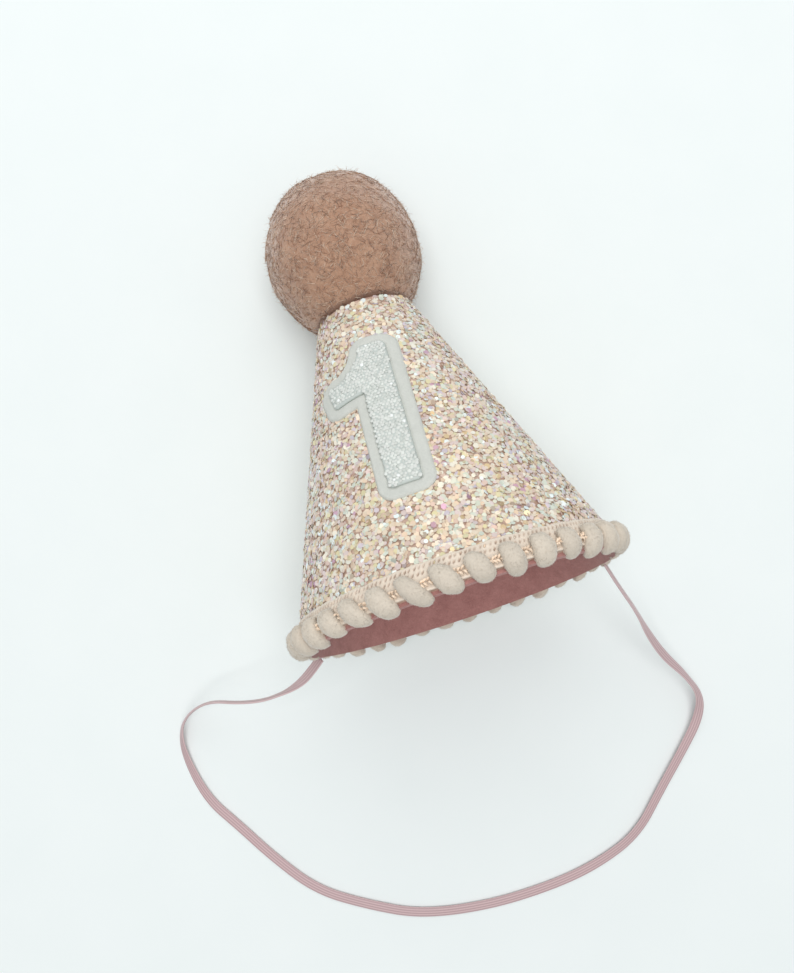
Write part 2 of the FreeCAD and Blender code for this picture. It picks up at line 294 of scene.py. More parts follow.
def spikes(lines, width):
    """Closed three-sided fibres: a triangle at each point of a line, square to its chord and shrinking
    evenly to just under half, and then a tip at the last point."""
    count, steps = lines.shape[:2]
    tangent = unit(lines[:, -1] - lines[:, 0])
    beside = np.roll(tangent, 1, axis=1) + (0.01, 0.02, 0.03)    # never along the fibre
    first = unit(np.cross(tangent, beside))
    second = np.cross(tangent, first)
    angle = np.arange(3) * math.tau / 3
    ring = np.cos(angle)[:, None] * first[:, None] + np.sin(angle)[:, None] * second[:, None]
    taper = np.linspace(1, 0.45, steps - 1)[:, None, None] * width[:, None, None, None] / 2
    body = lines[:, :-1, None] + taper * ring[:, None]
    points = np.concatenate([body.reshape(count, -1, 3), lines[:, -1:]], 1)
    each = points.shape[1]
    start = np.arange(count)[:, None, None] * each
    step = np.arange(3)
    after = (step + 1) % 3
    tip = np.full(3, each - 1)
    last = 3 * (steps - 2)
    faces = [start[:, 0] + np.array((0, 2, 1)),
             (start + np.stack([last + step, last + after, tip], -1)).reshape(-1, 3)]
    if steps > 2:
        faces.append((start + grid_faces(steps - 1, 3)).reshape(-1, 4))
    return points.reshape(-1, 3), faces


def joined(shapes):
    """One shape from several (points, faces, tints)."""
    points, faces, tints, start = [], [], [], 0
    for shape_points, shape_faces, shape_tints in shapes:
        points.append(shape_points)
        faces += [corners + start for corners in shape_faces]
        tints.append(shape_tints)
        start += len(shape_points)
    return np.concatenate(points), faces, np.concatenate(tints)


def new_piece(name, points, faces, material, replaces=(), tints=None, uv=None, smooth=True):
    """Mesh object that rides on the hat, with a colour or a place on the cloth for each point if given.
    What would reach below the floor is pressed flat on it."""
    points = np.maximum(points, (-np.inf, -np.inf, 0.0))
    mesh = bpy.data.meshes.new(name)
    mesh.vertices.add(len(points))
    mesh.vertices.foreach_set("co", np.asarray(points, np.float32).ravel())
    sizes = np.concatenate([np.full(len(corners), corners.shape[1]) for corners in faces])
    corners = np.concatenate([corners.ravel() for corners in faces])
    mesh.loops.add(len(corners))
    mesh.loops.foreach_set("vertex_index", corners.astype(np.int32))
    mesh.polygons.add(len(sizes))
    mesh.polygons.foreach_set("loop_start", (np.cumsum(sizes) - sizes).astype(np.int32))
    mesh.polygons.foreach_set("use_smooth", np.full(len(sizes), smooth))
    mesh.update(calc_edges=True)
    if tints is not None:
        colours = mesh.color_attributes.new("tint", "FLOAT_COLOR", "POINT")
        colours.data.foreach_set("color", np.asarray(tints, np.float32).ravel())
    if uv is not None:
        layer = mesh.uv_layers.new(name="cloth")
        layer.data.foreach_set("uv", np.asarray(uv, np.float32)[corners].ravel())
    piece = bpy.data.objects.new(name, mesh)
    bpy.context.scene.collection.objects.link(piece)
    mesh.materials.append(material)
    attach(piece, "root")
    if replaces:
        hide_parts(*replaces)
    return piece


def finish_node(name, material):
    """Gives a CAD node that keeps its shape its finish."""
    for slot in frame["nodes"][name].material_slots:
        slot.material = material


# Materials

def add(tree, kind, inputs=None, **settings):
    """Adds a node. Settings are its own, and inputs are values or the outputs of other nodes."""
    made = tree.nodes.new(kind)
    for name, value in settings.items():
        setattr(made, name, value)
    for name, value in (inputs or {}).items():
        if isinstance(value, bpy.types.NodeSocket):
            tree.links.new(value, made.inputs[name])
        else:
            made.inputs[name].default_value = value
    return made


def new_material(name, inputs):
    """Material of one Principled shader with constant values, to which patterns are then linked."""
    material = bpy.data.materials.new(name)
    material.use_nodes = True
    tree = material.node_tree
    tree.nodes.clear()
    shader = add(tree, "ShaderNodeBsdfPrincipled", inputs)
    add(tree, "ShaderNodeOutputMaterial", {"Surface": shader.outputs[0]})
    return material, tree, shader


def glitter_film(name, roughness, coating):
    """Die-cut polyester glitter with a pearly coating, its thickness in nanometres: flat flecks, each
    of one pastel colour, that flash where they face a light. A tint's alpha is how metallic it is."""
    material, tree, shader = new_material(name, {
        "Roughness": roughness, "IOR": 1.6, "Thin Film Thickness": coating, "Thin Film IOR": 1.4})
    tint = add(tree, "ShaderNodeAttribute", attribute_name="tint")
    tree.links.new(tint.outputs["Color"], shader.inputs["Base Color"])
    tree.links.new(tint.outputs["Alpha"], shader.inputs["Metallic"])
    return material


def glitter_ground():
    """Canvas soaked in glue under the glitter: matt, brown to pink, seen as thin dark lines between
    the flecks, with a dimple under each."""
    material, tree, shader = new_material("glued_canvas", {"Roughness": 0.6})
    place = add(tree, "ShaderNodeTexCoord")
    cells = add(tree, "ShaderNodeTexVoronoi", {"Vector": place.outputs["Object"], "Scale": 1 / (1.3 * MM)})
    blend = add(tree, "ShaderNodeMix", {0: cells.outputs["Color"], 6: linear("#A78573"),
                                        7: linear("#D3B8A6")}, data_type="RGBA")
    tree.links.new(blend.outputs[2], shader.inputs["Base Color"])
    bump = add(tree, "ShaderNodeBump", {"Height": cells.outputs["Distance"], "Distance": 0.2 * MM})
    tree.links.new(bump.outputs[0], shader.inputs["Normal"])
    return material


def wool_felt(name, dark, light, fibre, sheen=0.4, rim_shade_from=None):
    """Needle or pressed wool felt: matted fibres, so a cloudy colour, a fine nap and a soft pale edge.
    Given a distance along the cone's axis where a rim grips the wool, the wool just above it is painted
    darker: painted shade of the crease."""
    material, tree, shader = new_material(name, {
        "Roughness": 0.95, "Sheen Weight": sheen, "Sheen Roughness": 0.5, "Specular IOR Level": 0.2})
    place = add(tree, "ShaderNodeTexCoord")
    clouds = add(tree, "ShaderNodeTexNoise", {"Vector": place.outputs["Object"], "Scale": 1 / (6 * fibre),
                                              "Detail": 4.0, "Roughness": 0.65})
    nap = add(tree, "ShaderNodeTexNoise", {"Vector": place.outputs["Object"], "Scale": 1 / fibre,
                                           "Detail": 3.0, "Distortion": 1.5})
    both = add(tree, "ShaderNodeMath", {0: clouds.outputs[0], 1: nap.outputs[0]}, operation="ADD")
    spread = add(tree, "ShaderNodeMapRange", {"Value": both.outputs[0], "From Min": 0.7, "From Max": 1.3})
    blend = add(tree, "ShaderNodeMix", {0: spread.outputs[0], 6: dark, 7: light}, data_type="RGBA")
    # painted shade: a band just above the rim is painted dark brown, where the crease between ball and rim
    # is shaded
    if rim_shade_from is not None:
        along = add(tree, "ShaderNodeVectorMath", {0: place.outputs["Object"], 1: AXIS.tolist()},
                    operation="DOT_PRODUCT")
        above = add(tree, "ShaderNodeMapRange", {"Value": along.outputs["Value"], "From Min": rim_shade_from,
                                                 "From Max": rim_shade_from + 1.8 * MM})
        blend = add(tree, "ShaderNodeMix", {0: above.outputs[0], 6: linear("#67483B"), 7: blend.outputs[2]},
                    data_type="RGBA")
    tree.links.new(blend.outputs[2], shader.inputs["Base Color"])
    bump = add(tree, "ShaderNodeBump", {"Height": nap.outputs[0], "Distance": 0.25 * MM, "Strength": 0.7})
    tree.links.new(bump.outputs[0], shader.inputs["Normal"])
    return material


def dyed_fibre(name, sheen, grain_size):
    """Spun or felted fibres in bulk, each with its own colour: matt, with a fine nap of the given
    size and a soft pale edge."""
    material, tree, shader = new_material(name, {
        "Roughness": 0.9, "Sheen Weight": sheen, "Sheen Roughness": 0.4, "Specular IOR Level": 0.2})
    tint = add(tree, "ShaderNodeAttribute", attribute_name="tint")
    place = add(tree, "ShaderNodeTexCoord")
    grain = add(tree, "ShaderNodeTexNoise", {"Vector": place.outputs["Object"], "Scale": 1 / grain_size,
                                             "Detail": 3.0})
    depth = add(tree, "ShaderNodeMapRange", {"Value": grain.outputs[0], "From Min": 0.3, "From Max": 0.7,
                                             "To Min": 0.93, "To Max": 1.05})
    shade = add(tree, "ShaderNodeVectorMath", {0: tint.outputs["Color"], 1: depth.outputs[0]},
                operation="MULTIPLY")
    tree.links.new(shade.outputs[0], shader.inputs["Base Color"])
    bump = add(tree, "ShaderNodeBump", {"Height": grain.outputs[0], "Distance": 0.12 * MM})
    tree.links.new(bump.outputs[0], shader.inputs["Normal"])
    return material


def rayon_thread(name, thread):
    """Twisted rayon: smooth and shiny along the thread, with slanting plies."""
    material, tree, shader = new_material(name, {
        "Roughness": 0.38, "Sheen Weight": 0.2, "Anisotropic": 0.4, "IOR": 1.5})
    tint = add(tree, "ShaderNodeAttribute", attribute_name="tint")
    tree.links.new(tint.outputs["Color"], shader.inputs["Base Color"])
    place = add(tree, "ShaderNodeTexCoord")
    # the texture's bands are tau / 10 apart at scale 1, so the plies show at four threads apart,
    # coarser than real ones
    plies = add(tree, "ShaderNodeTexWave", {"Vector": place.outputs["UV"], "Scale": 1 / (math.tau * thread),
                                            "Distortion": 1.0, "Detail": 1.0},
                bands_direction="DIAGONAL")
    bump = add(tree, "ShaderNodeBump", {"Height": plies.outputs[1], "Distance": 0.08 * MM, "Strength": 0.5})
    tree.links.new(bump.outputs[0], shader.inputs["Normal"])
    return material


def covered_elastic(colour, dark):
    """Woven elastic: rubber cores under a close textile cover, so long ribs with fine rows of weft. The
    grooves between the ribs are painted darker: painted shade.
    """
    material, tree, shader = new_material("covered_elastic", {
        "Roughness": 0.55, "Sheen Weight": 0.35, "Sheen Roughness": 0.3, "IOR": 1.5})
    place = add(tree, "ShaderNodeTexCoord")
    parts = add(tree, "ShaderNodeSeparateXYZ", {0: place.outputs["UV"]})
    # 0.6 mm between rows of weft, twice the real distance, so that they show
    weft = add(tree, "ShaderNodeMath", {0: parts.outputs[0], 1: math.tau / (0.6 * MM)}, operation="MULTIPLY")
    weft = add(tree, "ShaderNodeMath", {0: weft.outputs[0]}, operation="SINE")
    ribs = add(tree, "ShaderNodeMath", {0: parts.outputs[1], 1: math.tau * ELASTIC_RIBS},
               operation="MULTIPLY")
    ribs = add(tree, "ShaderNodeMath", {0: ribs.outputs[0]}, operation="COSINE")
    # painted shade: the colour darkens towards the grooves between the ribs
    depth = add(tree, "ShaderNodeMapRange", {"Value": ribs.outputs[0], "From Min": -1.0})
    blend = add(tree, "ShaderNodeMix", {0: depth.outputs[0], 6: dark, 7: colour}, data_type="RGBA")
    tree.links.new(blend.outputs[2], shader.inputs["Base Color"])
    bump = add(tree, "ShaderNodeBump", {"Height": weft.outputs[0], "Distance": 0.05 * MM, "Strength": 0.5})
    tree.links.new(bump.outputs[0], shader.inputs["Normal"])
    return material


def hot_glue():
    """Hot-melt glue, set in a bead: milky, smooth and a little translucent."""
    material, tree, shader = new_material("hot_melt_glue", {
        "Base Color": linear("#E8E0CC"), "Subsurface Weight": 0.4, "Subsurface Scale": 2 * MM, "IOR": 1.48})
    place = add(tree, "ShaderNodeTexCoord")
    flow = add(tree, "ShaderNodeTexNoise", {"Vector": place.outputs["Object"], "Scale": 1 / (4 * MM)})
    gloss = add(tree, "ShaderNodeMapRange", {"Value": flow.outputs[0], "To Min": 0.2, "To Max": 0.45})
    tree.links.new(gloss.outputs[0], shader.inputs["Roughness"])
    bump = add(tree, "ShaderNodeBump", {"Height": flow.outputs[0], "Distance": 0.4 * MM})
    tree.links.new(bump.outputs[0], shader.inputs["Normal"])
    return material


def paper_floor():
    """White paper board with a faint tooth."""
    material, tree, shader = new_material("paper_board", {"Roughness": 0.8, "Specular IOR Level": 0.2})
    place = add(tree, "ShaderNodeTexCoord")
    tooth = add(tree, "ShaderNodeTexNoise", {"Vector": place.outputs["Object"], "Scale": 1 / (30 * MM)})
    blend = add(tree, "ShaderNodeMix", {0: tooth.outputs[0], 6: linear("#EBF1F0"), 7: linear("#EFF4F3")},
                data_type="RGBA")
    tree.links.new(blend.outputs[2], shader.inputs["Base Color"])
    return material


# What a user can change

class HatSizes(bpy.types.PropertyGroup):
    """Sizes of the soft and glittering pieces."""
    fleck_half_size: FloatProperty(
        name="Fleck half size", description="Middle to corner of a glitter fleck on the cone",
        default=0.84 * MM, min=0.3 * MM, max=2 * MM, unit="LENGTH", precision=5)
    fleck_spacing: FloatProperty(
        name="Fleck spacing", description="Distance between the middles of glitter flecks",
        default=1.12 * MM, min=0.8 * MM, max=3 * MM, unit="LENGTH", precision=5)
    grain_half_size: FloatProperty(
        name="Grain half size", description="Middle to corner of a glitter grain on the numeral",
        default=0.66 * MM, min=0.2 * MM, max=1 * MM, unit="LENGTH", precision=5)
    ball_fibres: IntProperty(
        name="Ball fibres", description="Loose wool fibres on the ball", default=14000, min=1, max=16000)
    ball_fibre_length: FloatProperty(
        name="Ball fibre length", description="Longest loose fibre on the ball",
        default=4.0 * MM, min=1 * MM, max=8 * MM, unit="LENGTH", precision=5)
    tuft_fibres: IntProperty(
        name="Pom-pom fibres", description="Clipped yarn ends that stand out of each pom-pom",
        default=700, min=0, max=1000)
    stitch_pitch: FloatProperty(
        name="Stitch pitch", description="Distance between stitches along the braid",
        default=1.4 * MM, min=0.8 * MM, max=3 * MM, unit="LENGTH", precision=5)


class HatColours(bpy.types.PropertyGroup):
    """Colours of the fabrics and fibres."""
    ball: FloatVectorProperty(
        name="Ball", description="Wool of the ball", subtype="COLOR", size=4, min=0, max=1,
        default=linear("#C09A80"))
    ball_dark: FloatVectorProperty(
        name="Ball, dark fibres", description="Darker wool in the ball", subtype="COLOR", size=4,
        min=0, max=1, default=linear("#A17861"))
    liner: FloatVectorProperty(
        name="Liner", description="Felt inside the cone", subtype="COLOR", size=4, min=0, max=1,
        default=linear("#B98781"))
    liner_dark: FloatVectorProperty(
        name="Liner, dark fibres", description="Darker felt inside the cone", subtype="COLOR", size=4,
        min=0, max=1, default=linear("#9F6F6A"))
    numeral_felt: FloatVectorProperty(
        name="Numeral felt", description="Felt behind the numeral", subtype="COLOR", size=4,
        min=0, max=1, default=linear("#D6D7D0"))
    pompom: FloatVectorProperty(
        name="Pom-poms", description="Yarn of the pom-poms", subtype="COLOR", size=4, min=0, max=1,
        default=linear("#D5CABB"))
    braid: FloatVectorProperty(
        name="Braid", description="Thread of the braid", subtype="COLOR", size=4, min=0, max=1,
        default=linear("#E7D8C7"))
    tie: FloatVectorProperty(
        name="Tie threads", description="Shiny thread between pom-poms", subtype="COLOR", size=4,
        min=0, max=1, default=linear("#F3DBC2"))
    elastic: FloatVectorProperty(
        name="Elastic", description="Textile cover of the elastic", subtype="COLOR", size=4,
        min=0, max=1, default=linear("#D3B9B9"))
    # painted shade: the darker colour painted in the grooves between the elastic's ribs
    elastic_groove_shade: FloatVectorProperty(
        name="Elastic, grooves", description="Between the elastic's ribs", subtype="COLOR", size=4,
        min=0, max=1, default=linear("#B5979A"))


def sizes():
    """The sizes that the user has set."""
    return bpy.context.scene.party_hat_sizes


def colours():
    """The colours that the user has set."""
    return bpy.context.scene.party_hat_colours


def tinted(colour, count, spread, seed):
    """Rows of a colour with its brightness varied, by a share of it."""
    rng = np.random.default_rng(seed)
    rows = np.tile(np.array(colour[:]), (count, 1))
    rows[:, :3] *= 1 + rng.uniform(-spread, spread, (count, 1))
    return np.clip(rows, 0, 1)


# Stage

class PARTYHAT_OT_stage(bpy.types.Operator):
    """Add the floor, the lights and a camera above the hat."""
    bl_idname = "party_hat.stage"
    bl_label = "Stage"

    FLOOR_HALF_SIZE = 3.0
    CAMERA_PLACE = (-7.2 * MM, -22.1 * MM, 323.2 * MM)
    CAMERA_TURN = -18.45
    CAMERA_TILT = -0.385
    LENS = 33.3
    # each light's name, place, side and power
    LIGHTS = (
        ("overhead", (0.0, -0.05, 2.0), 1.2, 19.5),
        ("window", (0.12, 0.6, 0.8), 0.8, 2.7))
    BACKDROP = "#F4F8FA"
    BACKDROP_STRENGTH = 0.49

    def execute(self, context):
        scene = context.scene
        half = self.FLOOR_HALF_SIZE
        corners = [(-half, -half, 0.0), (half, -half, 0.0), (half, half, 0.0), (-half, half, 0.0)]
        mesh = bpy.data.meshes.new("floor")
        mesh.from_pydata(corners, [], [(0, 1, 2, 3)])
        floor = bpy.data.objects.new("floor", mesh)
        mesh.materials.append(paper_floor())
        scene.collection.objects.link(floor)

        camera = bpy.data.cameras.new("camera")
        camera.lens = self.LENS
        camera.clip_start = 0.01
        camera_object = bpy.data.objects.new("camera", camera)
        turn = Matrix.Rotation(math.radians(self.CAMERA_TURN), 4, "Z")
        tilt = Matrix.Rotation(math.radians(self.CAMERA_TILT), 4, "X")
        camera_object.matrix_world = Matrix.Translation(self.CAMERA_PLACE) @ tilt @ turn
        scene.collection.objects.link(camera_object)
        scene.camera = camera_object

        for name, place, size, power in self.LIGHTS:
            light = bpy.data.lights.new(name, "AREA")
            light.size = size
            light.energy = power
            lamp = bpy.data.objects.new(name, light)
            lamp.location = place
            lamp.rotation_euler = (-Vector(place)).to_track_quat("-Z", "Y").to_euler()
            scene.collection.objects.link(lamp)

        world = bpy.data.worlds.new("studio")
        world.use_nodes = True
        backdrop = world.node_tree.nodes["Background"]
        backdrop.inputs["Color"].default_value = linear(self.BACKDROP)
        backdrop.inputs["Strength"].default_value = self.BACKDROP_STRENGTH
        scene.world = world
        scene.view_settings.view_transform = "Standard"
        return {"FINISHED"}


# Elastic

def route_points(points):
    """Points along the smooth line that a NURBS spline makes of a route."""
    curve = bpy.data.curves.new("route", "CURVE")
    curve.dimensions = "3D"
    spline = curve.splines.new("NURBS")
    spline.points.add(len(points) - 1)
    spline.points.foreach_set("co", np.c_[points, np.ones(len(points))].ravel())
    spline.order_u = 3
    spline.use_endpoint_u = True
    spline.resolution_u = 20
    route = bpy.data.objects.new("route", curve)
    bpy.context.scene.collection.objects.link(route)
    mesh = bpy.data.meshes.new_from_object(route)
    line = np.zeros(len(mesh.vertices) * 3)
    mesh.vertices.foreach_get("co", line)
    bpy.data.objects.remove(route)
    return line.reshape(-1, 3)


def ribbon_profile(count):
    """Outline of the ribbon's section: flat, with its edges rounded by a fifth power, and a cosine of
    ribs on each face. The last value is the place across, from -1 to 1."""
    across = -np.cos(np.linspace(0, math.pi, count))
    ribs = 0.9 + 0.1 * np.cos(across * math.pi * ELASTIC_RIBS)
    face = np.sqrt(1 - np.abs(across) ** 5) * ribs * ELASTIC_THICK / 2
    place = np.concatenate([across, across[-2:0:-1]])
    return place * ELASTIC_WIDTH / 2, np.concatenate([face, -face[-2:0:-1]]), place


class PARTYHAT_OT_elastic(bpy.types.Operator):
    """Add the flat chin elastic, which twists where it leaves the brim and lies flat on the floor."""
    bl_idname = "party_hat.elastic"
    bl_label = "Chin elastic"

    EASE = 15    # steps of the route on each side over which a turn is eased

    def execute(self, context):
        exits = on_cone(-ELASTIC_OVERHANG, ELASTIC_OUT, np.array((LEFT_EXIT, RIGHT_EXIT)))
        line = route_points(np.concatenate([exits[:1], ELASTIC_ROUTE, exits[1:]]))
        steps = np.linalg.norm(np.diff(line, axis=0), axis=1)
        travelled = np.concatenate([[0.0], np.cumsum(steps)])
        share = travelled / travelled[-1]
        # each turn is a bell-shaped average of those around it, so that the ribbon twists evenly
        turn = np.radians(np.interp(share, ELASTIC_TURN[:, 0], ELASTIC_TURN[:, 1]))
        soft = np.hanning(2 * self.EASE + 1)
        padded = np.pad(turn, self.EASE, mode="edge")
        turn = np.convolve(padded, soft / soft.sum(), mode="valid")
        tangent = unit(np.gradient(line, axis=0))
        level = unit(np.cross((0.0, 0.0, 1.0), tangent))
        upward = np.cross(tangent, level)
        across = np.cos(turn)[:, None] * level + np.sin(turn)[:, None] * upward
        square = np.cross(tangent, across)
        width, face, place = ribbon_profile(17)
        points = line[:, None] + width[:, None] * across[:, None] + face[:, None] * square[:, None]
        uv = np.stack(np.broadcast_arrays(travelled[:, None], place / 2), -1).reshape(-1, 2)
        material = covered_elastic(colours().elastic, colours().elastic_groove_shade)
        ribbon = new_piece("elastic_ribbon", points.reshape(-1, 3), swept_faces(len(line), len(width)),
                           material, ["elastic_strap"], uv=uv)
        for name in ("elastic_end_left", "elastic_end_right"):
            finish_node(name, material)
        return {"FINISHED"}


# Numeral

def numeral_core():
    """Outline of the numeral shrunk by its corner radius: stem, and a flag hollowed under the head."""
    head = np.array((-1.9, 49.4))
    flag = np.array((-10.9, 40.3))
    bend = np.array((-4.2, 42.4))
    share = np.linspace(0, 1, 9)[:, None]
    hollow = (1 - share) ** 2 * head + 2 * share * (1 - share) * bend + share ** 2 * flag
    return np.concatenate([
        [(-3.2, 1.5), (3.2, 1.5), (3.2, 49.0)], hollow, [(-14.7, 40.3), (-13.8, 35.5), (-3.2, 35.5)]]) * MM


def outline_distance(points, outline):
    """Distance from an outline, negative inside, and the direction straight away from it."""
    start = outline
    along = np.roll(outline, -1, axis=0) - outline
    offset = points[:, None] - start
    share = np.clip((offset * along).sum(-1) / (along ** 2).sum(-1), 0, 1)
    away = offset - share[..., None] * along
    distance = np.linalg.norm(away, axis=-1)
    nearest = distance.argmin(1)
    rows = np.arange(len(points))
    crosses = ((start[:, 1] > points[:, 1:]) != ((start + along)[:, 1] > points[:, 1:]))
    with np.errstate(divide="ignore", invalid="ignore"):
        meets = points[:, :1] < start[:, 0] + offset[..., 1] * along[:, 0] / along[:, 1]
    inside = (crosses & meets).sum(1) % 2 == 1
    sign = np.where(inside, -1.0, 1.0)
    direction = away[rows, nearest] / np.maximum(distance[rows, nearest], 1e-9)[:, None]
    return sign * distance[rows, nearest], sign[:, None] * direction


def numeral_plane():
    """The numeral's middle on the cone, and the directions across it, up it and straight out there."""
    lean = math.radians(NUMERAL_LEAN)
    along, upward, outward = cone_directions(NUMERAL_AROUND)
    across = math.cos(lean) * along + math.sin(lean) * upward
    upright = math.cos(lean) * upward - math.sin(lean) * along
    return on_cone(NUMERAL_UP, 0.0, NUMERAL_AROUND), across, upright, outward


def wrap(flat, out):
    """Points of the numeral's flat plane, moved straight in or out on to the cone, out from its face.
    How far out each point is gets measured and put right a few times over."""
    place, across, upright, outward = numeral_plane()
    points = place + flat[:, :1] * across + flat[:, 1:] * upright
    for _ in range(8):
        offset = points - BRIM_CENTRE
        height = offset @ AXIS
        radius = np.linalg.norm(offset - height[:, None] * AXIS, axis=1)
        now = (radius - BRIM_RADIUS) * SLANT_COS + height * SLANT_SIN
        points = points + (out - now)[:, None] * outward
    return points


def slab(core, level, base, thick, edge, spacing, groove=0.0):
    """Flat piece with a rounded edge, wrapped on the cone: a grid cut at a level distance outside the
    core, its border moved on to that line, doubled into a top, a wall and an underside. The top falls
    in a quarter circle near the edge to just under half, and dips in a bell-shaped groove where the
    edge of the layer above is pressed in."""
    low = core.min(0) - level - spacing
    high = core.max(0) + level + spacing
    x = np.arange(low[0], high[0], spacing)
    y = np.arange(low[1], high[1], spacing)
    flat = np.stack(np.meshgrid(x, y), -1).reshape(-1, 2)
    quads = grid_faces(len(y), len(x), closed=False)
    distance, away = outline_distance(flat, core)
    quads = quads[(distance < level)[quads].sum(1) >= 3]
    edges = np.concatenate([quads[:, [i, (i + 1) % 4]] for i in range(4)])
    # an edge is on the rim if no other quad runs along it the other way
    there = edges[:, 0].astype(np.int64) * len(flat) + edges[:, 1]
    back = edges[:, 1].astype(np.int64) * len(flat) + edges[:, 0]
    rim = edges[~np.isin(there, back)]
    border = np.zeros(len(flat), bool)
    border[rim.ravel()] = True
    flat[border] += (level - distance[border])[:, None] * away[border]
    distance[border] = level
    used = np.unique(quads)
    number = np.full(len(flat), -1)
    number[used] = np.arange(len(used))
    quads, rim, flat, distance = number[quads], number[rim], flat[used], distance[used]
    rise = np.clip((level - distance) / edge, 0, 1)
    height = thick * (0.45 + 0.55 * np.sqrt(1 - (1 - rise) ** 2))
    height = height - groove * np.exp(-((distance - CORNER_RADIUS) / GROOVE_WIDTH) ** 2)
    centred = flat + NUMERAL_FOOT
    upper = wrap(centred, base + height)
    lower = wrap(centred, np.full(len(flat), base))
    wall = np.stack([rim[:, 1], rim[:, 0], rim[:, 0] + len(used), rim[:, 1] + len(used)], -1)
    return np.concatenate([upper, lower]), [quads, quads[:, ::-1] + len(used), wall]


class PARTYHAT_OT_numeral(bpy.types.Operator):
    """Add the glitter numeral and the plain felt that it is stuck on."""
    bl_idname = "party_hat.numeral"
    bl_label = "Numeral"

    PRESSED_IN = 0.35 * MM          # how far the face is sunk in the backing
    GRAIN_ACROSS = 1.62             # from grain to grain and from row to row, in grain half sizes
    GRAIN_UP = 1.4
    GRAINS = (("#DADCD7", 0.42), ("#D3D6D0", 0.27), ("#E1E4DE", 0.19), ("#CACEC8", 0.10), ("#F4F6F4", 0.02))

    def execute(self, context):
        core = numeral_core()
        points, faces = slab(core, CORNER_RADIUS + BORDER, 0.0, BACKING_THICK, 0.8 * MM, 0.3 * MM,
                             groove=0.4 * MM)
        felt = wool_felt("pressed_felt_pale", linear("#CACCC5"), colours().numeral_felt, 0.5 * MM, 0.2)
        new_piece("numeral_backing", points, faces, felt, ["number_backing"])

        points, faces = slab(core, CORNER_RADIUS, BACKING_THICK - self.PRESSED_IN,
                             FACE_THICK + self.PRESSED_IN, 0.45 * MM, 0.22 * MM)
        tints = tinted(linear("#C3CAC5"), len(points), 0.02, SEED + 2)
        tints[:, 3] = 0
        film = glitter_film("pearl_glitter_film", 0.58, 0.0)
        new_piece("numeral_face", points, faces, film, ["number_face"], tints=tints)
        self.grains(core, film)
        return {"FINISHED"}

    def grains(self, core, film):
        """Glitter grains set on the face in uneven staggered rows."""
        rng = np.random.default_rng(SEED + 1)
        half = sizes().grain_half_size
        low, high = core.min(0) - CORNER_RADIUS, core.max(0) + CORNER_RADIUS
        x, y = np.meshgrid(np.arange(low[0], high[0], half * self.GRAIN_ACROSS),
                           np.arange(low[1], high[1], half * self.GRAIN_UP))
        x[::2] += half * self.GRAIN_ACROSS / 2
        flat = np.stack([x, y], -1).reshape(-1, 2) + rng.uniform(-0.32, 0.32, (x.size, 2)) * half
        flat = flat[outline_distance(flat, core)[0] < CORNER_RADIUS - 0.2 * MM]
        count = len(flat)
        sunk = rng.uniform(-0.1, 0.0, count) * MM
        centre = wrap(flat + NUMERAL_FOOT, BACKING_THICK + FACE_THICK + sunk)
        offset = centre - BRIM_CENTRE
        around = np.degrees(np.arctan2(offset @ TOP, offset @ SIDE))
        along, _, outward = cone_directions(around)
        outward = unit(outward + rng.normal(0, 0.1, (count, 3)))
        along = unit(along - (along * outward).sum(-1, keepdims=True) * outward)
        points, faces = domes(centre, outward, along, half * rng.uniform(0.75, 1.1, count),
                              rng.uniform(0.14, 0.22, count) * MM, rng.uniform(0, math.tau, count))
        tints = chosen_from(self.GRAINS, count, rng)
        tints[:, 3] = 0
        new_piece("numeral_grains", points, faces, film,
                  tints=np.repeat(tints, len(points) // count, axis=0))


# Cone

